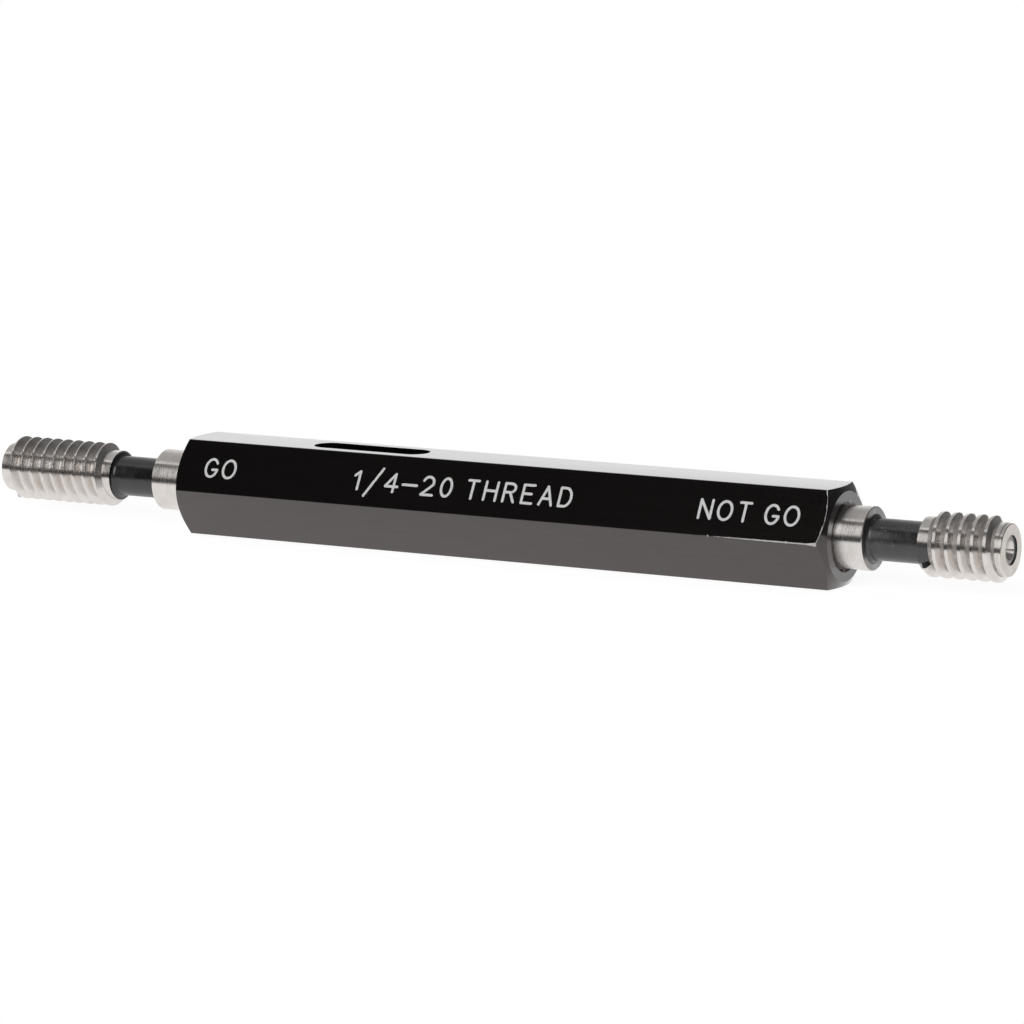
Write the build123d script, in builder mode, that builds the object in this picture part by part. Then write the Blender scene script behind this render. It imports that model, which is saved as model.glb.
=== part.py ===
from build123d import *
import os
from math import ceil, cos, radians, sin, sqrt, tan

# Double-ended thread plug gauge: a GO plug and a NOT GO plug held by self-holding tapers in
# the two ends of a hexagon handle. Millimetres. The gauge lies on a flat of the hexagon, its
# axis along X, the GO end towards -X, and the origin is under the middle of its length.

# Hexagon handle
hex_across_flats = 9.525
hex_edge_radius = 0.12
handle_length = 71.44
end_chamfer_inset = 0.46  # from the flats to the rim of the end face
end_chamfer_angle = 30

# Taper sockets, the bore that joins them and the drift slot
taper_ratio = 1 / 24  # change of diameter over length
taper_clearance = 0.01  # on the radius, between shank and socket
socket_run_out = 1.0  # reamed past the small end of the shank
socket_mouth_chamfer = 0.4
knock_out_bore = 4.0
drift_slot_length = 12.7
drift_slot_width = 3.175
drift_reach = 0.5  # how far the GO shank stands into the slot

# What both plugs share
shank_large_diameter = 6.096
shank_length = 18.05
shank_end_chamfer = 0.3
collar_edge_break = 0.08
neck_diameter = 4.0
neck_length = 5.38
neck_corner_chamfer = 0.26
neck_corner_share = 0.5  # of the step from the neck up to the back face, at most
centre_recess_diameter = 2.84
centre_recess_depth = 0.15
centre_mouth_diameter = 1.9
centre_drill_diameter = 0.9
centre_depth = 3.0
centre_angle = 60

# Thread: 60 degree form, right hand
nominal_diameter = 6.35
pitch = 1.27
thread_angle = 60
back_face_step = 0.08  # back face stands this far above the thread root
pilot_relief = 0.06  # pilot lies this far below the thread root
start_relief = 0.03  # ridge is removed to this far below the root ahead of its start
pilot_length = 0.4
tip_chamfer = 0.15
groove_overshoot = 0.04  # cutting tools reach this far above the crest

# GO plug
go_stand_out = 3.79  # of the shank's large end, from the handle
go_thread_length = 13.1
go_start_setback = 0.62  # from the tip to the crest where the ridge starts
go_start_angle = 176  # of that start round the axis, from the top towards the front

# NOT GO plug
not_go_stand_out = 2.91
not_go_thread_length = 8.4
not_go_pitch_allowance = 0.1245  # on the pitch diameter
not_go_start_setback = 0.72
not_go_start_angle = 290

# Worked out from the sizes above
axis_height = hex_across_flats / 2
hex_corner_radius = hex_across_flats / sqrt(3)
end_face_radius = hex_across_flats / 2 - end_chamfer_inset
go_reach = go_stand_out + neck_length + go_thread_length
not_go_reach = not_go_stand_out + neck_length + not_go_thread_length
overall_length = go_reach + handle_length + not_go_reach
go_end_x = go_reach - overall_length / 2
not_go_end_x = go_end_x + handle_length
thread_height = pitch / 2 / tan(radians(thread_angle / 2))
go_pitch_radius = nominal_diameter / 2 - 3 / 8 * thread_height
go_root_radius = nominal_diameter / 2 - 5 / 8 * thread_height
not_go_pitch_radius = go_pitch_radius + not_go_pitch_allowance / 2
not_go_major_radius = not_go_pitch_radius + thread_height / 4
not_go_root_radius = not_go_pitch_radius - thread_height / 4

axial = Plane(origin=(0, 0, axis_height), x_dir=(1, 0, 0), z_dir=(0, -1, 0))
gauge_axis = Axis((0, 0, axis_height), (1, 0, 0))


def shank_radius(from_large_end):
    return (shank_large_diameter - taper_ratio * from_large_end) / 2


def socket_radius(stand_out, depth):
    return shank_radius(stand_out + depth) + taper_clearance


def turned_bar():
    """Half outline of the bar that the two end chamfers leave."""
    clear_radius = hex_corner_radius + end_chamfer_inset
    slope = (clear_radius - end_face_radius) * tan(radians(end_chamfer_angle))
    with BuildSketch(axial) as outline:
        with BuildLine():
            Polyline(
                (go_end_x, 0),
                (go_end_x, end_face_radius),
                (go_end_x + slope, clear_radius),
                (not_go_end_x - slope, clear_radius),
                (not_go_end_x, end_face_radius),
                (not_go_end_x, 0),
                close=True,
            )
        make_face()
    return outline.sketch


def taper_socket(end_x, inwards, stand_out):
    """Half outline of a socket, from the end face of the handle inwards."""
    depth = shank_length - stand_out + socket_run_out
    mouth_radius = socket_radius(stand_out, 0) + socket_mouth_chamfer
    with BuildSketch(axial) as outline:
        with BuildLine():
            Polyline(
                (end_x, 0),
                (end_x, mouth_radius),
                (end_x + inwards * socket_mouth_chamfer, socket_radius(stand_out, socket_mouth_chamfer)),
                (end_x + inwards * depth, socket_radius(stand_out, depth)),
                (end_x + inwards * depth, 0),
                close=True,
            )
        make_face()
    return outline.sketch


def plug_outline(stand_out, thread_length, major_radius, root_radius):
    """Half outline of a plug before its thread is ground, in the XZ plane, tip upwards."""
    neck_start = stand_out
    back_face = stand_out + neck_length
    tip = back_face + thread_length
    small_end = stand_out - shank_length
    back_radius = root_radius + back_face_step
    pilot_radius = root_radius - pilot_relief
    with BuildSketch(Plane.XZ) as outline:
        with BuildLine():
            Polyline(
                (0, small_end),
                (shank_radius(shank_length) - shank_end_chamfer, small_end),
                (shank_radius(shank_length - shank_end_chamfer), small_end + shank_end_chamfer),
                (shank_radius(collar_edge_break), neck_start - collar_edge_break),
                (shank_radius(0) - collar_edge_break, neck_start),
                (neck_diameter / 2, neck_start),
                (neck_diameter / 2, back_face),
                (back_radius, back_face),
                (major_radius, back_face + major_radius - back_radius),
                (major_radius, tip - pilot_length),
                (pilot_radius, tip - pilot_length),
                (pilot_radius, tip - tip_chamfer),
                (pilot_radius - tip_chamfer, tip),
                (0, tip),
                close=True,
            )
        make_face()
        neck_corners = outline.vertices().group_by(Axis.X)[1]
        neck_step = back_radius - neck_diameter / 2
        chamfer(neck_corners, min(neck_corner_chamfer, neck_corner_share * neck_step))
    return outline.sketch


def helix_path(turns, radius, height):
    """A helix in half turns, starting on +X."""
    with BuildLine() as path:
        for half_turn in range(2 * turns):
            start_height = height + half_turn * pitch / 2
            span = Helix(pitch, pitch / 2, radius, center=(0, 0, start_height), mode=Mode.PRIVATE)
            add(span.rotate(Axis.Z, 180 * (half_turn % 2)))
    return path.line


def groove_section(height, pitch_radius, root_radius, major_radius):
    """Section of the thread groove, with its middle at the given height."""
    flank = tan(radians(thread_angle / 2))
    outer_radius = major_radius + groove_overshoot
    root_half = pitch / 4 - (pitch_radius - root_radius) * flank
    outer_half = pitch / 4 + (outer_radius - pitch_radius) * flank
    with BuildSketch(Plane.XZ) as section:
        with BuildLine():
            Polyline(
                (root_radius, height - root_half),
                (outer_radius, height - outer_half),
                (outer_radius, height + outer_half),
                (root_radius, height + root_half),
                close=True,
            )
        make_face()
    return section.sketch


def start_section(height, pitch_radius, root_radius, major_radius):
    """Section that takes away one whole ridge, with its crest at the given height."""
    flank = tan(radians(thread_angle / 2))
    ridge_half = pitch / 4 + (pitch_radius - root_radius) * flank
    half = (ridge_half + pitch / 2) / 2
    inner_radius = root_radius - start_relief
    outer_radius = major_radius + groove_overshoot
    with BuildSketch(Plane.XZ) as section:
        with BuildLine():
            Polyline(
                (inner_radius, height - half),
                (outer_radius, height - half),
                (outer_radius, height + half),
                (inner_radius, height + half),
                close=True,
            )
        make_face()
    return section.sketch


def thread_plug(stand_out, thread_length, major_radius, pitch_radius, root_radius, setback):
    """A plug along Z with the handle's end face at z = 0 and its ridge starting on +X."""
    tip = stand_out + neck_length + thread_length
    start_crest = tip - setback
    turns_below = ceil((thread_length - setback) / pitch) + 1
    groove_start = start_crest - (turns_below - 0.5) * pitch
    turns_past_tip = ceil(setback / pitch) + 1
    outline = plug_outline(stand_out, thread_length, major_radius, root_radius)
    groove = groove_section(groove_start, pitch_radius, root_radius, major_radius)
    groove_path = helix_path(turns_below + turns_past_tip, pitch_radius, groove_start)
    start = start_section(start_crest, pitch_radius, root_radius, major_radius)
    start_path = helix_path(turns_past_tip, pitch_radius, start_crest)
    with BuildPart() as plug:
        revolve(outline, axis=Axis.Z)
        sweep(groove, path=groove_path, is_frenet=True, mode=Mode.SUBTRACT)
        sweep(start, path=start_path, is_frenet=True, mode=Mode.SUBTRACT)
        tip_face = plug.faces().sort_by(Axis.Z)[-1]
        with Locations(Plane(tip_face)):
            Hole(centre_recess_diameter / 2, centre_recess_depth)
        with Locations(Plane(tip_face).offset(-centre_recess_depth)):
            CounterSinkHole(
                centre_drill_diameter / 2, centre_mouth_diameter / 2, centre_depth, centre_angle
            )
    return plug.part


def plug_seat(end_x, outwards, start_angle):
    """Plane on the handle's end face, its X axis where the plug's ridge starts."""
    angle = radians(start_angle)
    return Plane(
        origin=(end_x, 0, axis_height),
        x_dir=(0, -sin(angle), cos(angle)),
        z_dir=(outwards, 0, 0),
    )


os.makedirs("parts", exist_ok=True)

# Handle: hexagon bar, chamfered ends, two taper sockets, knock-out bore and drift slot
with BuildPart() as handle:
    with BuildSketch(Plane.YZ.offset(go_end_x)) as hexagon:
        with Locations((0, axis_height)):
            RegularPolygon(hex_across_flats / 2, 6, major_radius=False)
        fillet(hexagon.vertices(), hex_edge_radius)
    extrude(amount=handle_length)
    revolve(turned_bar(), axis=gauge_axis, mode=Mode.INTERSECT)
    revolve(taper_socket(go_end_x, 1, go_stand_out), axis=gauge_axis, mode=Mode.SUBTRACT)
    revolve(taper_socket(not_go_end_x, -1, not_go_stand_out), axis=gauge_axis, mode=Mode.SUBTRACT)
    with BuildSketch(Plane.YZ.offset(go_end_x)):
        with Locations((0, axis_height)):
            Circle(knock_out_bore / 2)
    extrude(amount=handle_length, mode=Mode.SUBTRACT)
    slot_start_x = go_end_x + shank_length - go_stand_out - drift_reach
    with BuildSketch(Plane.XY.offset(axis_height)):
        with Locations((slot_start_x + drift_slot_length / 2, 0)):
            SlotOverall(drift_slot_length, drift_slot_width)
    extrude(amount=hex_across_flats, both=True, mode=Mode.SUBTRACT)
handle.part.label = "handle"
export_step(handle.part, "parts/handle.step")

# GO plug: full thread form at the nominal size
go_form = thread_plug(
    go_stand_out,
    go_thread_length,
    nominal_diameter / 2,
    go_pitch_radius,
    go_root_radius,
    go_start_setback,
)
with BuildPart(plug_seat(go_end_x, -1, go_start_angle)) as go_plug:
    add(go_form)
go_plug.part.label = "go_plug"
export_step(go_plug.part, "parts/go_plug.step")

# NOT GO plug: larger pitch diameter, truncated crests, fewer turns
not_go_form = thread_plug(
    not_go_stand_out,
    not_go_thread_length,
    not_go_major_radius,
    not_go_pitch_radius,
    not_go_root_radius,
    not_go_start_setback,
)
with BuildPart(plug_seat(not_go_end_x, 1, not_go_start_angle)) as not_go_plug:
    add(not_go_form)
not_go_plug.part.label = "not_go_plug"
export_step(not_go_plug.part, "parts/not_go_plug.step")
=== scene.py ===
"""Looks of a double-ended thread plug gauge: black hexagon handle, ground GO and NOT GO plugs."""

from math import atan2, cos, pi, radians, sin, tan

import bmesh
import bpy
from mathutils import Matrix, Vector


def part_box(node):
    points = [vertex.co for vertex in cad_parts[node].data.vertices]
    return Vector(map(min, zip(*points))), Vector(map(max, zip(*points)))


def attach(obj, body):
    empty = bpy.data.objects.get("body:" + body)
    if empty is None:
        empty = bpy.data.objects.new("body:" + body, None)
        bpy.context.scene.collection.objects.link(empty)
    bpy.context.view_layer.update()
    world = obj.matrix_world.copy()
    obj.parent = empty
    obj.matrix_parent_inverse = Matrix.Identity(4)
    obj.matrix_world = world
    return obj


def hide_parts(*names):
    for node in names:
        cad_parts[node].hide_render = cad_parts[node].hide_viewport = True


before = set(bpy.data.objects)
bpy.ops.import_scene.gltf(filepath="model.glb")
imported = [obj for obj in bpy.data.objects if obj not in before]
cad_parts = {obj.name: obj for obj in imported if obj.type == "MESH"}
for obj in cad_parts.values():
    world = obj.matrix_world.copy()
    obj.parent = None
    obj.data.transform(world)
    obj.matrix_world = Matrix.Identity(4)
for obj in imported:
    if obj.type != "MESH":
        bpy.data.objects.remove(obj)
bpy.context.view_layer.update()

# Pieces are modelled in millimetres and scaled to metres when they are finished
METRES = 0.001
MILLIMETRES = 1000

# Read from the frame
handle_low, handle_high = (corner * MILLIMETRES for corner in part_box("handle"))
go_low, go_high = (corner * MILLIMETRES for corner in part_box("go_plug"))
not_go_low, not_go_high = (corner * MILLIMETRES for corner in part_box("not_go_plug"))
across_flats = handle_high.z - handle_low.z
axis_height = (handle_low.z + handle_high.z) / 2

# Thread form, 60 degrees, right hand
PITCH = 1.27
FLANK_SLOPE = tan(radians(30))
THREAD_HEIGHT = PITCH / 2 / FLANK_SLOPE
CREST_BREAK = 0.012
PILOT_RELIEF = 0.06
PILOT_LENGTH = 0.4
TIP_CHAMFER = 0.06
STEPS_A_TURN = 120
LAND_TURNS = 2  # longer than the land, and cut off at its end
RIDGE_CORNERS = 6  # of a section of the thread, the rest is the root beside it

# What both plugs share
NECK_RADIUS = 2.0
NECK_LENGTH = 5.38
NECK_FILLET = 0.4
FILLET_STEPS = 8
COLLAR_RADIUS = 3.048
COLLAR_EDGE_BREAK = 0.08
TAPER = 1 / 48  # change of radius over length
SHANK_END_CHAMFER = 0.3
CENTRE_RECESS_RADIUS = 1.42
CENTRE_RECESS_DEPTH = 0.15
CENTRE_MOUTH_RADIUS = 0.95
CENTRE_DRILL_RADIUS = 0.45
CENTRE_SLOPE = tan(radians(30))
CENTRE_DEPTH = 3.0

# Finishes of a plug, in the order of its materials
THREAD_STEEL = 0
GROUND_STEEL = 1
BLACK_OXIDE = 2
TURNED_FACE = 3
# Thread roots with painted shade, used on the NOT GO plug
SHADED_ROOT = 4
FACED_STEEL = 5
HANDLE_END = 1  # in the handle's own list of finishes

# Each plug's own sizes: the setback runs from the tip to the middle of the ridge's blunt start, and
# the black land is the range of angles, from the top towards the front, left black behind the ridge
GO = {
    "inwards": 1,
    "tip": go_low.x,
    "shank_end": go_high.x,
    "thread_length": 13.1,
    "major_radius": 3.175,
    "pitch_radius": 3.175 - 3 / 8 * THREAD_HEIGHT,
    "setback": 0.62,
    "start_angle": radians(176),
    "turns": 9.1,
    "root_finish": THREAD_STEEL,
    "black_land": (0, 0),
}
NOT_GO_ALLOWANCE = 0.1245 / 2
NOT_GO = {
    "inwards": -1,
    "tip": not_go_high.x,
    "shank_end": not_go_low.x,
    "thread_length": 8.4,
    "major_radius": GO["pitch_radius"] + NOT_GO_ALLOWANCE + THREAD_HEIGHT / 4,
    "pitch_radius": GO["pitch_radius"] + NOT_GO_ALLOWANCE,
    "setback": 0.72,
    "start_angle": radians(290),
    "turns": 5.45,
    "root_finish": SHADED_ROOT,
    "black_land": (radians(84), radians(128)),
}

# Handle
END_FACE_RADIUS = across_flats / 2 - 0.46
END_CHAMFER_SLOPE = tan(radians(30))
FACE_TILT = radians(60)  # of the upper front face, from level

SHARP_ANGLE = radians(24)
MERGE_REACH = 0.004  # more than a turn of the screw drifts, less than its smallest edge
RING_REACH = 0.001
CUT_REACH = 1e-6


def about_axis(x, radius, angle):
    """A point at that place along the axis, with its angle from the top towards the front."""
    return Vector((x, -radius * sin(angle), axis_height + radius * cos(angle)))


def radius_of(point):
    """Distance from the axis."""
    return Vector((point.y, point.z - axis_height)).length


def angle_of(point):
    """Angle round the axis, from the top towards the front."""
    return atan2(-point.y, point.z - axis_height)


def moved_to(point, x, radius):
    """The point at another place along the axis and another radius, at its own angle."""
    share = radius / radius_of(point)
    return Vector((x, point.y * share, axis_height + (point.z - axis_height) * share))


def neck_corner(face, side):
    """A round inner corner of the neck, as places along the axis and radii, from face to cylinder."""
    points = []
    for step in range(FILLET_STEPS + 1):
        turn = pi / 2 * step / FILLET_STEPS
        along = NECK_FILLET * (1 - cos(turn))
        out = NECK_FILLET * (1 - sin(turn))
        points.append((face + side * along, NECK_RADIUS + out))
    return points


def thread_section(plug):
    """Place along the axis and radius of each corner of one ridge and the root beside it."""
    pitch_radius = plug["pitch_radius"]
    major_radius = plug["major_radius"]
    root_radius = pitch_radius - THREAD_HEIGHT / 4
    crest = PITCH / 4 - (major_radius - pitch_radius) * FLANK_SLOPE
    root = PITCH / 4 + (pitch_radius - root_radius) * FLANK_SLOPE
    shoulder = crest + CREST_BREAK * FLANK_SLOPE
    return [
        (-root, root_radius),
        (-shoulder, major_radius - CREST_BREAK),
        (CREST_BREAK - crest, major_radius),
        (crest - CREST_BREAK, major_radius),
        (shoulder, major_radius - CREST_BREAK),
        (root, root_radius),
        (PITCH - root, root_radius),
    ]


def screw(bm, geometry, towards, turns):
    """Carries edges along the helix, a right-hand one whichever way it goes."""
    bmesh.ops.spin(
        bm,
        geom=geometry,
        cent=(0, 0, axis_height),
        axis=(towards, 0, 0),
        dvec=(towards * PITCH / STEPS_A_TURN, 0, 0),
        angle=2 * pi * turns,
        steps=round(turns * STEPS_A_TURN),
    )


def cut_away(bm, x, side):
    """Cuts off what lies on that side of a plane across the axis."""
    everything = bm.verts[:] + bm.edges[:] + bm.faces[:]
    bmesh.ops.bisect_plane(
        bm, geom=everything, dist=CUT_REACH, plane_co=(x, 0, 0), plane_no=(side, 0, 0), clear_outer=True
    )


def open_ring(bm, x):
    """The open edges at that place along the axis."""
    edges = [edge for edge in bm.edges if edge.is_boundary]
    return [edge for edge in edges if all(abs(vert.co.x - x) < RING_REACH for vert in edge.verts)]


def turn_ring(bm, ring, x, radius, finish):
    """Carries a ring of edges to another place along the axis and another radius."""
    made = bmesh.ops.extrude_edge_only(bm, edges=ring)["geom"]
    corners = {part for part in made if isinstance(part, bmesh.types.BMVert)}
    for corner in corners:
        corner.co = moved_to(corner.co, x, radius)
    for part in made:
        if isinstance(part, bmesh.types.BMFace):
            part.material_index = finish
    edges = [part for part in made if isinstance(part, bmesh.types.BMEdge)]
    return [edge for edge in edges if corners.issuperset(edge.verts)]


def ridge_section(bm, plug, turns):
    """The blunt end of the ridge and the root beside it, that many turns from the start."""
    inwards = plug["inwards"]
    middle = plug["tip"] + inwards * (plug["setback"] + PITCH * turns)
    angle = plug["start_angle"] + inwards * 2 * pi * turns
    corners = []
    for along, radius in thread_section(plug):
        corners.append(bm.verts.new(about_axis(middle + inwards * along, radius, angle)))
    edges = [bm.edges.new(pair) for pair in zip(corners, corners[1:])]
    bm.faces.new(corners[:RIDGE_CORNERS])
    return corners, edges


def plain_land(bm, corners, edges, towards):
    """Carries the root on past a blunt end of the ridge."""
    far_foot = RIDGE_CORNERS - 1
    feet = [corners[0], corners[far_foot], corners[far_foot + 1]]
    screw(bm, feet + [bm.edges.get(feet[:2]), edges[far_foot]], towards, LAND_TURNS)


def thread(bm, plug):
    """The threaded surface with its blunt ends, cut square at the pilot and at the back face."""
    inwards = plug["inwards"]
    start, start_edges = ridge_section(bm, plug, 0)
    screw(bm, start + start_edges, inwards, plug["turns"])
    root_reach = plug["pitch_radius"] - THREAD_HEIGHT / 4 + MERGE_REACH
    for face in bm.faces:
        if all(radius_of(vert.co) < root_reach for vert in face.verts):
            face.material_index = plug["root_finish"]
    plain_land(bm, start, start_edges, -inwards)
    ground = set(bm.faces)
    plain_land(bm, *ridge_section(bm, plug, plug["turns"]), inwards)
    black_from, black_to = plug["black_land"]
    for face in set(bm.faces) - ground:
        if black_from < angle_of(face.calc_center_median()) < black_to:
            face.material_index = BLACK_OXIDE
    bmesh.ops.remove_doubles(bm, verts=bm.verts, dist=MERGE_REACH)
    back = plug["tip"] + inwards * plug["thread_length"]
    cut_away(bm, plug["tip"] + inwards * PILOT_LENGTH, -inwards)
    cut_away(bm, back, inwards)
    return back


def plug_tip(bm, plug):
    """Pilot, end face and centre hole."""
    inwards = plug["inwards"]
    tip = plug["tip"]
    shoulder = tip + inwards * PILOT_LENGTH
    pilot_radius = plug["pitch_radius"] - THREAD_HEIGHT / 4 - PILOT_RELIEF
    recess = tip + inwards * CENTRE_RECESS_DEPTH
    cone_depth = (CENTRE_MOUTH_RADIUS - CENTRE_DRILL_RADIUS) / CENTRE_SLOPE
    ring = open_ring(bm, shoulder)
    for x, radius, finish in (
        (shoulder, pilot_radius, GROUND_STEEL),
        (tip + inwards * TIP_CHAMFER, pilot_radius, GROUND_STEEL),
        (tip, pilot_radius - TIP_CHAMFER, FACED_STEEL),
        (tip, CENTRE_RECESS_RADIUS, FACED_STEEL),
        (recess, CENTRE_RECESS_RADIUS, BLACK_OXIDE),
        (recess, CENTRE_MOUTH_RADIUS, TURNED_FACE),
        (recess + inwards * cone_depth, CENTRE_DRILL_RADIUS, GROUND_STEEL),
        (recess + inwards * CENTRE_DEPTH, CENTRE_DRILL_RADIUS, BLACK_OXIDE),
    ):
        ring = turn_ring(bm, ring, x, radius, finish)
    bmesh.ops.edgeloop_fill(bm, edges=ring, mat_nr=BLACK_OXIDE)


def plug_body(bm, plug, back):
    """Face behind the thread, neck, collar and taper shank."""
    inwards = plug["inwards"]
    collar = back + inwards * NECK_LENGTH
    end = plug["shank_end"]
    end_radius = COLLAR_RADIUS - TAPER * abs(end - collar)
    ring = open_ring(bm, back)
    neck = neck_corner(back, inwards)
    neck += reversed(neck_corner(collar, -inwards))
    for x, radius in neck:
        ring = turn_ring(bm, ring, x, radius, BLACK_OXIDE)
    ring = turn_ring(bm, ring, collar, COLLAR_RADIUS - COLLAR_EDGE_BREAK, TURNED_FACE)
    for x, radius in (
        (collar + inwards * COLLAR_EDGE_BREAK, COLLAR_RADIUS - TAPER * COLLAR_EDGE_BREAK),
        (end - inwards * SHANK_END_CHAMFER, end_radius),
        (end, end_radius - SHANK_END_CHAMFER),
    ):
        ring = turn_ring(bm, ring, x, radius, GROUND_STEEL)
    bmesh.ops.edgeloop_fill(bm, edges=ring)


def finished_piece(bm, name, materials):
    """Shades the mesh smooth between its sharp edges, scales it to metres and makes it a piece."""
    bmesh.ops.recalc_face_normals(bm, faces=bm.faces)
    for face in bm.faces:
        face.smooth = True
    for edge in bm.edges:
        edge.smooth = edge.calc_face_angle(0) < SHARP_ANGLE
    bmesh.ops.scale(bm, verts=bm.verts, vec=(METRES, METRES, METRES))
    mesh = bpy.data.meshes.new(name)
    bm.to_mesh(mesh)
    bm.free()
    for material in materials:
        mesh.materials.append(material)
    piece = bpy.data.objects.new(name, mesh)
    bpy.context.scene.collection.objects.link(piece)
    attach(piece, "root")
    return piece


def thread_plug(name, plug, materials):
    """One plug, from its threaded tip to the end of its taper shank."""
    bm = bmesh.new()
    back = thread(bm, plug)
    plug_tip(bm, plug)
    plug_body(bm, plug, back)
    return finished_piece(bm, name, materials)


def handle_piece(name, materials):
    """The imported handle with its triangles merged, to shade smoothly, and a finish for its ends."""
    bm = bmesh.new()
    bm.from_mesh(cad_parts["handle"].data)
    bmesh.ops.scale(bm, verts=bm.verts, vec=(MILLIMETRES, MILLIMETRES, MILLIMETRES))
    bmesh.ops.remove_doubles(bm, verts=bm.verts, dist=MERGE_REACH)
    for face in bm.faces:
        for end in (handle_low.x, handle_high.x):
            if all(abs(vert.co.x - end) < MERGE_REACH for vert in face.verts):
                face.material_index = HANDLE_END
    return finished_piece(bm, name, materials)


# Finishes: tones are red, green and blue, and sizes on the surface are in metres

BRIGHT_STEEL = (0.75, 0.715, 0.69)
STAINED_STEEL = (0.68, 0.64, 0.61)
# Root tones: steel painted darker as shade in the thread roots, blotched by random stain
ROOT_SHADE_LIGHT = (0.5, 0.465, 0.44)
ROOT_SHADE_STAINED = (0.34, 0.31, 0.29)
BRIGHT_FACE = (0.72, 0.68, 0.645)
WARM_FACE = (0.64, 0.585, 0.54)
LIGHT_TURNED = (0.36, 0.355, 0.35)
DARK_TURNED = (0.26, 0.255, 0.255)
CLEAN_OXIDE = (0.007, 0.007, 0.008)
DULL_OXIDE = (0.02, 0.019, 0.021)
OXIDE_VEIL = (0.045, 0.043, 0.046)
PALE_DUST = (0.3, 0.3, 0.32)
THIN_DYE = (0.0038, 0.0034, 0.0032)
DEEP_DYE = (0.0024, 0.0022, 0.0021)
END_DYE = (0.0035, 0.0032, 0.003)
GREY_DUST = (0.02, 0.02, 0.02)
# Painted reflection of the warm floor on the lower faces of the handle
FLOOR_SHEEN_TONE = (0.026, 0.0145, 0.013)
BARE_METAL = (0.8, 0.79, 0.78)
DULL_PAINT = (0.86, 0.86, 0.85)
CLEAN_PAINT = (0.97, 0.97, 0.96)

GRINDING_DEPTH = 0.00002
TURNING_DEPTH = 0.000004
DRAWING_DEPTH = 0.00001

# Dust and wear lie towards the NOT GO end, from these places along the axis
DUST_START = 0.04
DUST_FULL = 0.0405
WEAR_START = 0.022
WEAR_FULL = 0.033
CORNER_WEAR = (0.0366, 0.0382)
NICKS = (0.0267, 0.0348)  # places along the front edge

# Bare lines on the handle
EDGE_OUT = (0.00551, 0.00553)  # from the axis, where the line along the front edge starts and is full
EDGE_LINE = 0.000037
CORNER_LINE = 0.00008
NICK_REACH = (0.00008, 0.00001)
NICK_HEIGHT = 0.00004
RIM_LINE = (0.00001, 0.00009)
RIM_BLUR = 0.00002
FACE_MARGIN = (0.03, 0.01)  # millimetres under the flat, where the line on the rim starts and is full
FLOOR_SHEEN_DROP = 0.2  # millimetres under the front edge, where the painted floor reflection is full


def new_node(tree, kind, links=None, values=None, **settings):
    """A node with its settings, its constant inputs and what feeds its other inputs."""
    node = tree.nodes.new(kind)
    for name, value in settings.items():
        setattr(node, name, value)
    for key, value in (values or {}).items():
        node.inputs[key].default_value = value
    for key, socket in (links or {}).items():
        tree.links.new(socket, node.inputs[key])
    return node


def math_node(tree, operation, first, second=0):
    """A sum of one or two inputs, each a socket or a number."""
    inputs = {0: first, 1: second}
    links = {key: value for key, value in inputs.items() if isinstance(value, bpy.types.NodeSocket)}
    values = {key: value for key, value in inputs.items() if key not in links}
    return new_node(tree, "ShaderNodeMath", links, values, operation=operation).outputs[0]


def ease(tree, socket, low, high, to_low=0, to_high=1):
    """A smooth step of a value from low to high."""
    values = {"From Min": low, "From Max": high, "To Min": to_low, "To Max": to_high}
    node = new_node(
        tree, "ShaderNodeMapRange", {"Value": socket}, values, interpolation_type="SMOOTHSTEP"
    )
    return node.outputs["Result"]


def object_place(tree):
    """Place on the object: along the axis, to the back and up, in metres."""
    place = new_node(tree, "ShaderNodeTexCoord").outputs["Object"]
    return place, new_node(tree, "ShaderNodeSeparateXYZ", {0: place}).outputs


def stretched_noise(tree, scale, detail, roughness):
    """Noise with a fineness of its own along each axis, in cycles a metre."""
    place, _ = object_place(tree)
    fitted = new_node(tree, "ShaderNodeMapping", {"Vector": place}, {"Scale": scale})
    values = {"Scale": 1, "Detail": detail, "Roughness": roughness}
    noise = new_node(tree, "ShaderNodeTexNoise", {"Vector": fitted.outputs[0]}, values)
    return noise.outputs["Fac"]


def mixed_colour(tree, share, first, second):
    """From the first colour to the second by share, each a socket or a tone."""
    node = new_node(tree, "ShaderNodeMix", {0: share}, data_type="RGBA")
    for key, colour in ((6, first), (7, second)):
        if isinstance(colour, bpy.types.NodeSocket):
            tree.links.new(colour, node.inputs[key])
        else:
            node.inputs[key].default_value = (*colour, 1)
    return node.outputs[2]


def sum_of_squares(tree, first, second):
    squares = [math_node(tree, "MULTIPLY", value, value) for value in (first, second)]
    return math_node(tree, "ADD", *squares)


def bump(tree, height, strength, distance):
    """Fine relief, as deep as the distance."""
    values = {"Strength": strength, "Distance": distance}
    return new_node(tree, "ShaderNodeBump", {"Height": height}, values).outputs[0]


def new_material(name, values):
    """A material and its shader, with the values that are the same all over it."""
    material = bpy.data.materials.new(name)
    material.use_nodes = True
    tree = material.node_tree
    shader = tree.nodes["Principled BSDF"]
    for key, value in values.items():
        shader.inputs[key].default_value = value
    return material, tree, shader


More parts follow.
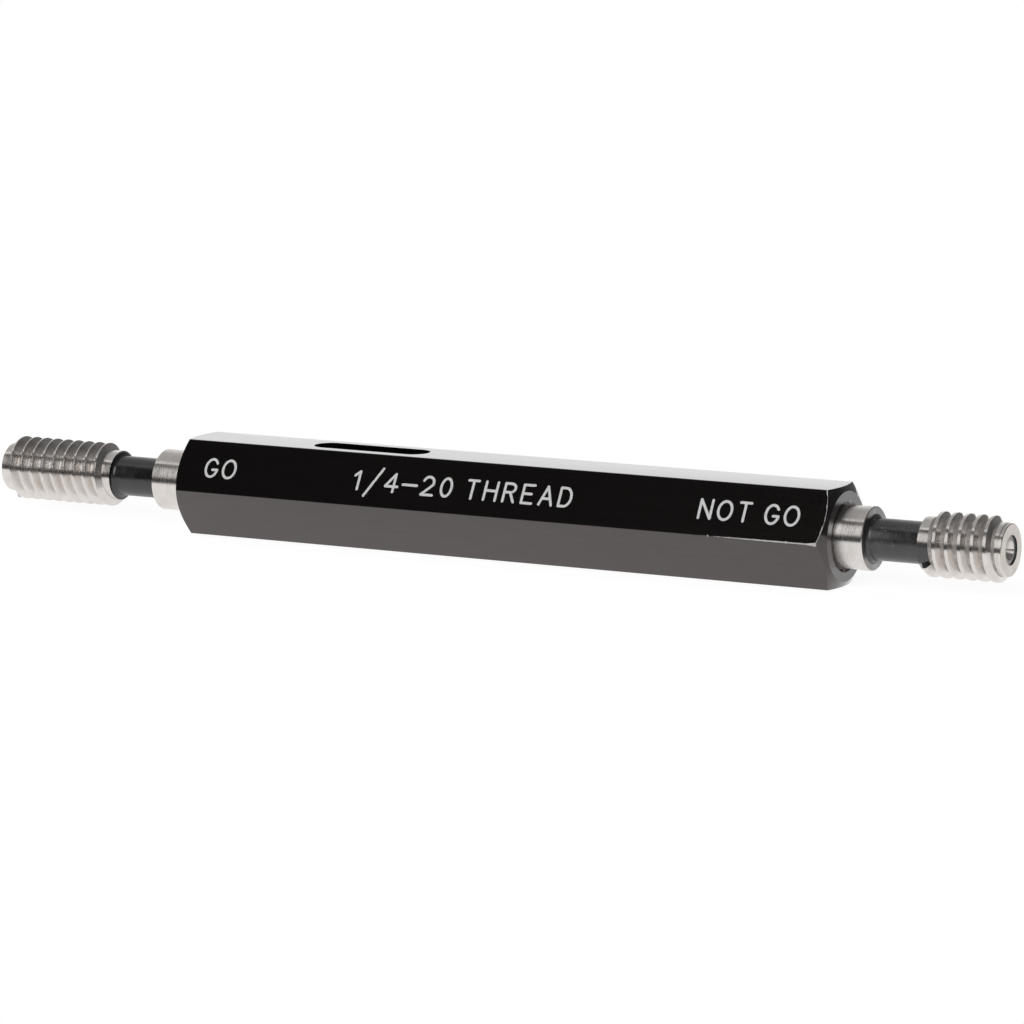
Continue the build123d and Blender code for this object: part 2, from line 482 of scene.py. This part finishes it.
def ground_steel(name, smoothest, roughest, spread):
    """Steel ground round the axis: fine rings that spread reflections along the axis."""
    values = {"Metallic": 1, "Anisotropic": spread, "Anisotropic Rotation": 0.25}
    material, tree, shader = new_material(name, values)
    rings = stretched_noise(tree, (14000, 900, 900), 3, 0.6)
    stain = stretched_noise(tree, (700, 700, 700), 2, 0.5)
    tone = mixed_colour(tree, ease(tree, stain, 0.35, 0.7), BRIGHT_STEEL, STAINED_STEEL)
    tree.links.new(tone, shader.inputs["Base Color"])
    around = new_node(tree, "ShaderNodeTangent", direction_type="RADIAL", axis="X")
    tree.links.new(around.outputs[0], shader.inputs["Tangent"])
    tree.links.new(ease(tree, rings, 0.3, 0.7, smoothest, roughest), shader.inputs["Roughness"])
    tree.links.new(bump(tree, rings, 0.1, GRINDING_DEPTH), shader.inputs["Normal"])
    return material


def black_oxide():
    """Blackened steel of the necks, with pale specks of dust on the NOT GO plug."""
    material, tree, shader = new_material("black_oxide", {"IOR": 1.72})
    _, place = object_place(tree)
    specks = stretched_noise(tree, (5200, 5200, 5200), 2, 0.5)
    haze = stretched_noise(tree, (900, 900, 900), 3, 0.6)
    past = ease(tree, place["X"], DUST_START, DUST_FULL)
    dust = math_node(tree, "MULTIPLY", past, ease(tree, specks, 0.66, 0.74))
    veil = math_node(tree, "MULTIPLY", past, ease(tree, haze, 0.4, 0.7))
    plain = mixed_colour(tree, past, CLEAN_OXIDE, DULL_OXIDE)
    veiled = mixed_colour(tree, veil, plain, OXIDE_VEIL)
    tree.links.new(mixed_colour(tree, dust, veiled, PALE_DUST), shader.inputs["Base Color"])
    tree.links.new(ease(tree, haze, 0.3, 0.7, 0.24, 0.34), shader.inputs["Roughness"])
    return material


def turned_rings(tree):
    """Fine rings on a face across the axis."""
    _, place = object_place(tree)
    height = math_node(tree, "SUBTRACT", place["Z"], axis_height * METRES)
    radius = math_node(tree, "SQRT", sum_of_squares(tree, place["Y"], height))
    values = {"W": 0, "Scale": 26000, "Detail": 2, "Roughness": 0.5}
    noise = new_node(tree, "ShaderNodeTexNoise", {"W": radius}, values, noise_dimensions="1D")
    return noise.outputs["Fac"]


def turned_face(name, dark, light):
    """A steel face turned across the axis, with fine rings."""
    material, tree, shader = new_material(name, {"Metallic": 1, "Roughness": 0.38})
    rings = turned_rings(tree)
    cloud = stretched_noise(tree, (900, 900, 900), 2, 0.5)
    tone = mixed_colour(tree, ease(tree, cloud, 0.3, 0.7), dark, light)
    tree.links.new(tone, shader.inputs["Base Color"])
    tree.links.new(bump(tree, rings, 0.2, TURNING_DEPTH), shader.inputs["Normal"])
    return material


def turned_anodised():
    """The faced ends of the bar, dyed black over fine turned rings."""
    values = {
        "Base Color": (*END_DYE, 1),
        "Roughness": 0.3,
        "IOR": 1.5,
        "Coat Weight": 1,
        "Coat IOR": 1.5,
        "Coat Roughness": 0.3,
    }
    material, tree, shader = new_material("turned_anodised", values)
    tree.links.new(bump(tree, turned_rings(tree), 0.2, TURNING_DEPTH), shader.inputs["Normal"])
    return material


def shaded_root_steel():
    """Thread roots, rougher than the flanks, with their steel painted darker as shade in the groove
    bottoms and blotched by random stain.
    """
    material, tree, shader = new_material("shaded_root_steel", {"Metallic": 1})
    stain = stretched_noise(tree, (1600, 1600, 1600), 3, 0.6)
    tone = mixed_colour(tree, ease(tree, stain, 0.3, 0.7), ROOT_SHADE_LIGHT, ROOT_SHADE_STAINED)
    tree.links.new(tone, shader.inputs["Base Color"])
    tree.links.new(ease(tree, stain, 0.3, 0.7, 0.35, 0.5), shader.inputs["Roughness"])
    return material


def worn_front_edge(tree, place):
    """A thin bare line along the front edge, wider at the corner, with a few nicks."""
    ragged = stretched_noise(tree, (1500, 1500, 1500), 3, 0.6)
    along = ease(tree, place["X"], WEAR_START, WEAR_FULL)
    reach = math_node(tree, "MULTIPLY", math_node(tree, "ADD", ragged, along), EDGE_LINE)
    reach = math_node(tree, "ADD", reach, ease(tree, place["X"], *CORNER_WEAR, 0, CORNER_LINE))
    for nick in NICKS:
        off = math_node(tree, "ABSOLUTE", math_node(tree, "SUBTRACT", place["X"], nick))
        reach = math_node(tree, "ADD", reach, ease(tree, off, *NICK_REACH, 0, NICK_HEIGHT))
    front = math_node(tree, "SUBTRACT", reach, place["Y"])
    return ease(tree, front, *EDGE_OUT)


def worn_rim(tree, place):
    """A thin, broken bare line where the upper front face meets the chamfer of the NOT GO end."""
    height = math_node(tree, "SUBTRACT", place["Z"], axis_height * METRES)
    radius = math_node(tree, "SQRT", sum_of_squares(tree, place["Y"], height))
    rim = math_node(tree, "ADD", place["X"], math_node(tree, "MULTIPLY", radius, END_CHAMFER_SLOPE))
    rim_place = (handle_high.x + END_FACE_RADIUS * END_CHAMFER_SLOPE) * METRES
    off = math_node(tree, "ABSOLUTE", math_node(tree, "SUBTRACT", rim, rim_place))
    beads = stretched_noise(tree, (1300, 1300, 1300), 3, 0.6)
    width = ease(tree, beads, 0.35, 0.65, *RIM_LINE)
    near = ease(tree, math_node(tree, "SUBTRACT", off, width), RIM_BLUR, -RIM_BLUR)
    tilted_y = math_node(tree, "MULTIPLY", place["Y"], -sin(FACE_TILT))
    out = math_node(tree, "ADD", tilted_y, math_node(tree, "MULTIPLY", height, cos(FACE_TILT)))
    on_face = ease(tree, out, *((across_flats / 2 - margin) * METRES for margin in FACE_MARGIN))
    return math_node(tree, "MULTIPLY", near, on_face)


def black_anodised():
    """Dyed and sealed aluminium with fine lines drawn along the bar, bare metal where it is worn, and a
    painted floor reflection on the lower faces.
    """
    values = {
        "IOR": 1.5,
        "Specular Tint": (1, 0.8, 0.77, 1),
        "Coat Weight": 1,
        "Coat IOR": 1.5,
        "Coat Roughness": 0.1,
    }
    material, tree, shader = new_material("black_anodised", values)
    lines = stretched_noise(tree, (60, 9000, 9000), 4, 0.65)
    _, place = object_place(tree)
    worn = math_node(tree, "MAXIMUM", worn_front_edge(tree, place), worn_rim(tree, place))
    specks = stretched_noise(tree, (3600, 3600, 3600), 2, 0.5)
    late = ease(tree, place["X"], WEAR_START, WEAR_FULL)
    dust = math_node(tree, "MULTIPLY", late, ease(tree, specks, 0.68, 0.74))
    depth = ease(tree, lines, 0.35, 0.65)
    dye = mixed_colour(tree, depth, THIN_DYE, DEEP_DYE)
    dye = mixed_colour(tree, dust, dye, GREY_DUST)
    # Painted reflection: below the front edge the dye is lightened and warmed with random mottling,
    # standing in for the warm floor mirrored in the lower faces
    sheen_cloud = stretched_noise(tree, (260, 1900, 1900), 3, 0.6)
    under = ease(tree, place["Z"], axis_height * METRES, (axis_height - FLOOR_SHEEN_DROP) * METRES)
    floor_sheen = math_node(tree, "MULTIPLY", under, ease(tree, sheen_cloud, 0.25, 0.75))
    dye = mixed_colour(tree, floor_sheen, dye, FLOOR_SHEEN_TONE)
    tree.links.new(mixed_colour(tree, worn, dye, BARE_METAL), shader.inputs["Base Color"])
    polish = ease(tree, lines, 0.3, 0.7, 0.12, 0.2)
    roughness = math_node(tree, "MAXIMUM", polish, math_node(tree, "MULTIPLY", worn, 0.4))
    tree.links.new(roughness, shader.inputs["Roughness"])
    tree.links.new(bump(tree, lines, 0.05, DRAWING_DEPTH), shader.inputs["Normal"])
    return material


def letter_paint():
    """White filling of the cut letters."""
    material, tree, shader = new_material("letter_paint", {"Roughness": 0.45})
    grain = stretched_noise(tree, (9000, 9000, 9000), 2, 0.5)
    tone = mixed_colour(tree, grain, DULL_PAINT, CLEAN_PAINT)
    tree.links.new(tone, shader.inputs["Base Color"])
    return material


plug_finishes = [
    ground_steel("thread_steel", 0.2, 0.28, 0.82),
    ground_steel("collar_steel", 0.22, 0.32, 0.85),
    black_oxide(),
    turned_face("turned_oxide", DARK_TURNED, LIGHT_TURNED),
    shaded_root_steel(),
    turned_face("faced_steel", WARM_FACE, BRIGHT_FACE),
]
handle_finishes = [black_anodised(), turned_anodised()]
paint = letter_paint()

go_piece = thread_plug("go_thread_plug", GO, plug_finishes)
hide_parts("go_plug")
not_go_piece = thread_plug("not_go_thread_plug", NOT_GO, plug_finishes)
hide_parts("not_go_plug")
handle = handle_piece("hexagon_handle", handle_finishes)
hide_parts("handle")

# Marks on the upper front face: single-stroke letters, cut and filled

CAP_HEIGHT = 1.86
STROKE_WIDTH = 0.27
STROKE_RISE = 0.01
LETTER_ADVANCE = 2.03
WORD_GAP = 0.85
BASELINE = -1.03  # from the middle of the face, up the face
ARC_STEPS = 20
END_SEGMENTS = 12
CORNER_TURN = radians(25)


def arc(x, y, width, height, start, end):
    """Points of an elliptic arc, angles in degrees anticlockwise."""
    points = []
    for step in range(ARC_STEPS + 1):
        angle = radians(start + (end - start) * step / ARC_STEPS)
        points.append((x + width * cos(angle), y + height * sin(angle)))
    return points


# Strokes of each letter about its middle, in cap heights
LETTERS = {
    "G": [arc(0, 0.5, 0.36, 0.5, 35, 350) + [(0.06, 0.41)]],
    "O": [arc(0, 0.5, 0.375, 0.5, 0, 360)],
    "N": [[(-0.325, 0), (-0.325, 1), (0.325, 0), (0.325, 1)]],
    "T": [[(-0.3, 1), (0.3, 1)], [(0, 1), (0, 0)]],
    "H": [[(-0.34, 0), (-0.34, 1)], [(0.34, 0), (0.34, 1)], [(-0.34, 0.52), (0.34, 0.52)]],
    "R": [
        [(-0.3, 0), (-0.3, 1)] + arc(0.04, 0.76, 0.27, 0.24, 90, -90) + [(-0.3, 0.52)],
        [(0.04, 0.52), (0.32, 0)],
    ],
    "E": [[(0.3, 1), (-0.3, 1), (-0.3, 0), (0.3, 0)], [(-0.3, 0.52), (0.2, 0.52)]],
    "A": [[(-0.36, 0), (0, 1), (0.36, 0)], [(-0.24, 0.34), (0.24, 0.34)]],
    "D": [[(-0.32, 0), (-0.32, 1)] + arc(-0.03, 0.5, 0.36, 0.5, 90, -90) + [(-0.32, 0)]],
    "1": [[(-0.08, 0.76), (0.19, 1), (0.19, 0)]],
    "/": [[(-0.42, -0.33), (0.42, 1.24)]],
    "4": [[(0.15, 0), (0.15, 1), (-0.36, 0.3), (0.37, 0.3)]],
    "-": [[(-0.42, 0.46), (0.42, 0.46)]],
    "2": [arc(0, 0.7, 0.3, 0.3, 165, -30) + [(-0.33, 0), (0.34, 0)]],
    "0": [arc(0, 0.5, 0.3, 0.5, 0, 360)],
}


def smooth_runs(stroke):
    """The stroke split where it turns sharply."""
    runs = [[stroke[0]]]
    for before, point, after in zip(stroke, stroke[1:], stroke[2:]):
        runs[-1].append(point)
        into = Vector(point) - Vector(before)
        if into.angle(Vector(after) - Vector(point)) > CORNER_TURN:
            runs.append([point])
    runs[-1].append(stroke[-1])
    return runs


def engraved_mark(name, text, first_letter):
    """A line of letters on the upper front face, the middle of its first letter at that place."""
    curve = bpy.data.curves.new(name, "CURVE")
    curve.dimensions = "3D"
    curve.bevel_depth = STROKE_WIDTH / 2
    curve.bevel_resolution = 2
    ends = set()
    across = first_letter
    for letter in text:
        if letter == " ":
            across += WORD_GAP
            continue
        for stroke in LETTERS[letter]:
            for run in smooth_runs(stroke):
                spline = curve.splines.new("POLY")
                spline.points.add(len(run) - 1)
                places = [(across + CAP_HEIGHT * x, BASELINE + CAP_HEIGHT * y, 0) for x, y in run]
                for point, place in zip(spline.points, places):
                    point.co = (*place, 1)
                ends.update((places[0], places[-1]))
        across += LETTER_ADVANCE
    drawn = bpy.data.objects.new(name, curve)
    bpy.context.scene.collection.objects.link(drawn)
    bm = bmesh.new()
    bm.from_mesh(bpy.data.meshes.new_from_object(drawn))
    bpy.data.objects.remove(drawn)
    for end in sorted(ends):
        bmesh.ops.create_uvsphere(
            bm,
            u_segments=END_SEGMENTS,
            v_segments=END_SEGMENTS // 2,
            radius=STROKE_WIDTH / 2,
            matrix=Matrix.Translation(end),
        )
    flat = Matrix.Scale(2 * STROKE_RISE / STROKE_WIDTH, 4, (0, 0, 1))
    lifted = Matrix.Translation((0, 0, across_flats / 2))
    tilted = Matrix.Translation((0, 0, axis_height)) @ Matrix.Rotation(FACE_TILT, 4, "X")
    bmesh.ops.transform(bm, matrix=tilted @ lifted @ flat, verts=bm.verts)
    return finished_piece(bm, name, [paint])


engraved_mark("go_mark", "GO", -28.8)
engraved_mark("size_mark", "1/4-20 THREAD", -12.27)
engraved_mark("not_go_mark", "NOT GO", 25.86)

# Studio, in metres

FLOOR_WIDTH = 0.4
FLOOR_FRONT = -0.042
FLOOR_BACK = 0.35
FLOOR_WHITE = 0.92
FLOOR_GLOW = 1.25
GLOW_SHARE = 0.72  # of what the camera and mirrors see of the floor, the rest is lit and shadowed


def white_floor():
    """A white table, which ends a little way in front of the gauge."""
    bm = bmesh.new()
    side = FLOOR_WIDTH / 2
    corners = ((-side, FLOOR_FRONT), (side, FLOOR_FRONT), (side, FLOOR_BACK), (-side, FLOOR_BACK))
    bm.faces.new([bm.verts.new((*corner, 0)) for corner in corners])
    mesh = bpy.data.meshes.new("floor")
    bm.to_mesh(mesh)
    bm.free()
    floor = bpy.data.objects.new("floor", mesh)
    bpy.context.scene.collection.objects.link(floor)
    material = bpy.data.materials.new("white_floor")
    material.use_nodes = True
    tree = material.node_tree
    tree.nodes.clear()
    white = (FLOOR_WHITE, FLOOR_WHITE, FLOOR_WHITE, 1)
    matt = new_node(tree, "ShaderNodeBsdfDiffuse", values={"Color": white})
    glow = new_node(tree, "ShaderNodeEmission", values={"Strength": FLOOR_GLOW})
    path = new_node(tree, "ShaderNodeLightPath")
    seen = math_node(tree, "MAXIMUM", path.outputs["Is Camera Ray"], path.outputs["Is Glossy Ray"])
    share = math_node(tree, "MULTIPLY", seen, GLOW_SHARE)
    mix = new_node(tree, "ShaderNodeMixShader", {0: share, 1: matt.outputs[0], 2: glow.outputs[0]})
    new_node(tree, "ShaderNodeOutputMaterial", {"Surface": mix.outputs[0]})
    mesh.materials.append(material)


# Light of the room by angle, in degrees from the front horizon over the top to the back one
LEFT_BANDS = [
    (0, 0.05),
    (9, 0.03),
    (57, 0.03),
    (68, 0.06),
    (73, 1.65),
    (79, 0.55),
    (125, 0.52),
    (145, 0.8),
    (166, 1.07),
]
MIDDLE_BANDS = [(0, 0.04), (11, 0.04), (19, 2.7), (46, 2.7), (56, 0.16), (180, 0.16)]

# Light of the room's right side from low to high, and where one part goes over into the next
RIGHT_EDGE = (0.04, 0.04, 0.04)
RIGHT_LOW = (0.14, 0.14, 0.14)
RIGHT_HIGH = (0.09, 0.09, 0.09)
EDGE_TO_LOW = (0.05, 0.1)
LOW_TO_HIGH = (0.2, 0.3)
LEFT_TO_MIDDLE = (-0.36, -0.24)
MIDDLE_TO_RIGHT = (0.4, 0.6)


def band_ramp(tree, bands, position):
    """Light by angle, with the bands going over into each other."""
    ramp = new_node(tree, "ShaderNodeValToRGB", {"Fac": position})
    elements = ramp.color_ramp.elements
    while len(elements) < len(bands):
        elements.new(1)
    for element, (angle, level) in zip(elements, bands):
        element.position = angle / 180
        element.color = (level, level, level, 1)
    return ramp.outputs["Color"]


def studio_world():
    """A dark room with soft boxes over the left and before the middle, white where the camera sees it."""
    world = bpy.data.worlds.new("studio")
    bpy.context.scene.world = world
    world.use_nodes = True
    tree = world.node_tree
    tree.nodes.clear()
    place = new_node(tree, "ShaderNodeTexCoord")
    towards = new_node(tree, "ShaderNodeSeparateXYZ", {0: place.outputs["Generated"]}).outputs
    front = math_node(tree, "MULTIPLY", towards["Y"], -1)
    angle = math_node(tree, "ARCTAN2", towards["Z"], front)
    position = math_node(tree, "DIVIDE", angle, pi)
    left = band_ramp(tree, LEFT_BANDS, position)
    middle = band_ramp(tree, MIDDLE_BANDS, position)
    from_left = mixed_colour(tree, ease(tree, towards["X"], *LEFT_TO_MIDDLE), left, middle)
    low = mixed_colour(tree, ease(tree, towards["Z"], *EDGE_TO_LOW), RIGHT_EDGE, RIGHT_LOW)
    right = mixed_colour(tree, ease(tree, towards["Z"], *LOW_TO_HIGH), low, RIGHT_HIGH)
    room = mixed_colour(tree, ease(tree, towards["X"], *MIDDLE_TO_RIGHT), from_left, right)
    studio = new_node(tree, "ShaderNodeBackground", {"Color": room})
    seen = new_node(tree, "ShaderNodeBackground", values={"Color": (1, 1, 1, 1)})
    path = new_node(tree, "ShaderNodeLightPath")
    inputs = {0: path.outputs["Is Camera Ray"], 1: studio.outputs[0], 2: seen.outputs[0]}
    mix = new_node(tree, "ShaderNodeMixShader", inputs)
    new_node(tree, "ShaderNodeOutputWorld", {"Surface": mix.outputs[0]})


# Camera, found from the photograph, in millimetres

VIEW_AZIMUTH = radians(28.664)
VIEW_ELEVATION = radians(9.708)
VIEW_ROLL = radians(-0.413)
VIEW_DISTANCE = 490.844
VIEW_TARGET = Vector((2.79, 0, 4.7625))
VIEW_OFFSET = (0.016, -0.378)
FOCAL_PIXELS = 5059.28
FRAME_PIXELS = 1024
SENSOR_WIDTH = 36
NEAREST = 10
FARTHEST = 10000


def photograph_camera():
    """The camera, with its own axes to the right, up and back."""
    back = Vector(
        (
            sin(VIEW_AZIMUTH) * cos(VIEW_ELEVATION),
            -cos(VIEW_AZIMUTH) * cos(VIEW_ELEVATION),
            sin(VIEW_ELEVATION),
        )
    )
    level = Vector((cos(VIEW_AZIMUTH), sin(VIEW_AZIMUTH), 0))
    upright = back.cross(level)
    right = cos(VIEW_ROLL) * level + sin(VIEW_ROLL) * upright
    up = cos(VIEW_ROLL) * upright - sin(VIEW_ROLL) * level
    place = VIEW_TARGET + back * VIEW_DISTANCE + right * VIEW_OFFSET[0] + up * VIEW_OFFSET[1]
    data = bpy.data.cameras.new("camera")
    data.sensor_width = SENSOR_WIDTH
    data.lens = FOCAL_PIXELS / FRAME_PIXELS * SENSOR_WIDTH
    data.clip_start = NEAREST * METRES
    data.clip_end = FARTHEST * METRES
    camera = bpy.data.objects.new("camera", data)
    bpy.context.scene.collection.objects.link(camera)
    aimed = Matrix((right, up, back)).transposed().to_4x4()
    camera.matrix_world = Matrix.Translation(place * METRES) @ aimed
    bpy.context.scene.camera = camera


white_floor()
studio_world()
photograph_camera()
bpy.context.scene.view_settings.view_transform = "Standard"
